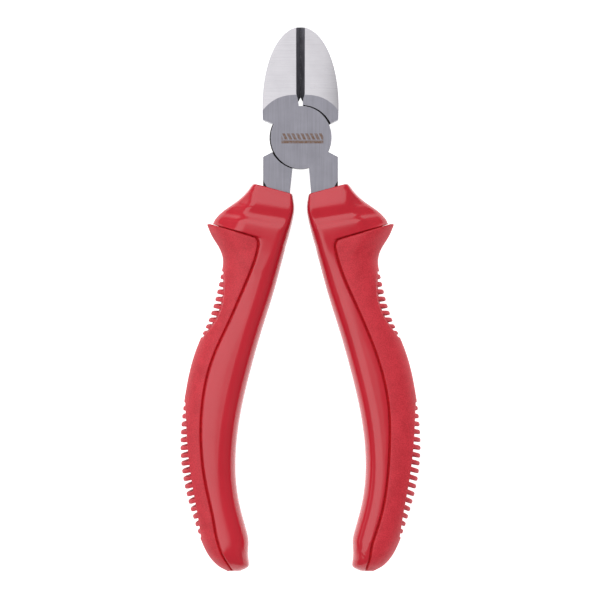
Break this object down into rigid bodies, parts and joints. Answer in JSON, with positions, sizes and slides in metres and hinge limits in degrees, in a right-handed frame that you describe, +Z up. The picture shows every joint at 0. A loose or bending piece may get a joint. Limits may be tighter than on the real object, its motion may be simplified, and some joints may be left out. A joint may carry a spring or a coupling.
{
  "type": "diagonal cutting pliers",
  "caption": "diagonal cutting pliers with oval jaws on a flat lap joint and curved glossy handles with thumb guards and soft ribbed outer pads",
  "frame": {"origin": "middle of the pliers' bounding box in X and Y, on the plane that both handles lie on", "axes": "+Y along the pliers towards the jaw tips, +X to the right seen from the front, +Z up out of the front face"},
  "size_m": [0.0706, 0.16, 0.014],
  "materials": {
    "tool_steel": "ground flats with a fine grain, dark oxide left in the cutting bevels",
    "rivet_steel": "ground flush with the joint",
    "hard_red": "glossy moulded handle",
    "soft_red": "matt fine-grained soft overmould"
  },
  "bodies": {
    "front_lever": {"front_forging": "tool_steel", "pivot_rivet": "rivet_steel", "right_grip_core": "hard_red", "right_grip_pad": "soft_red"},
    "rear_lever": {"rear_forging": "tool_steel", "left_grip_core": "hard_red", "left_grip_pad": "soft_red"}
  },
  "joints": [
    {"name": "pivot", "type": "hinge", "parent": "front_lever", "child": "rear_lever", "pos_m": [0, 0.04745, 0.007], "axis": [0, 0, -1], "range_deg": [0, 48]}
  ]
}
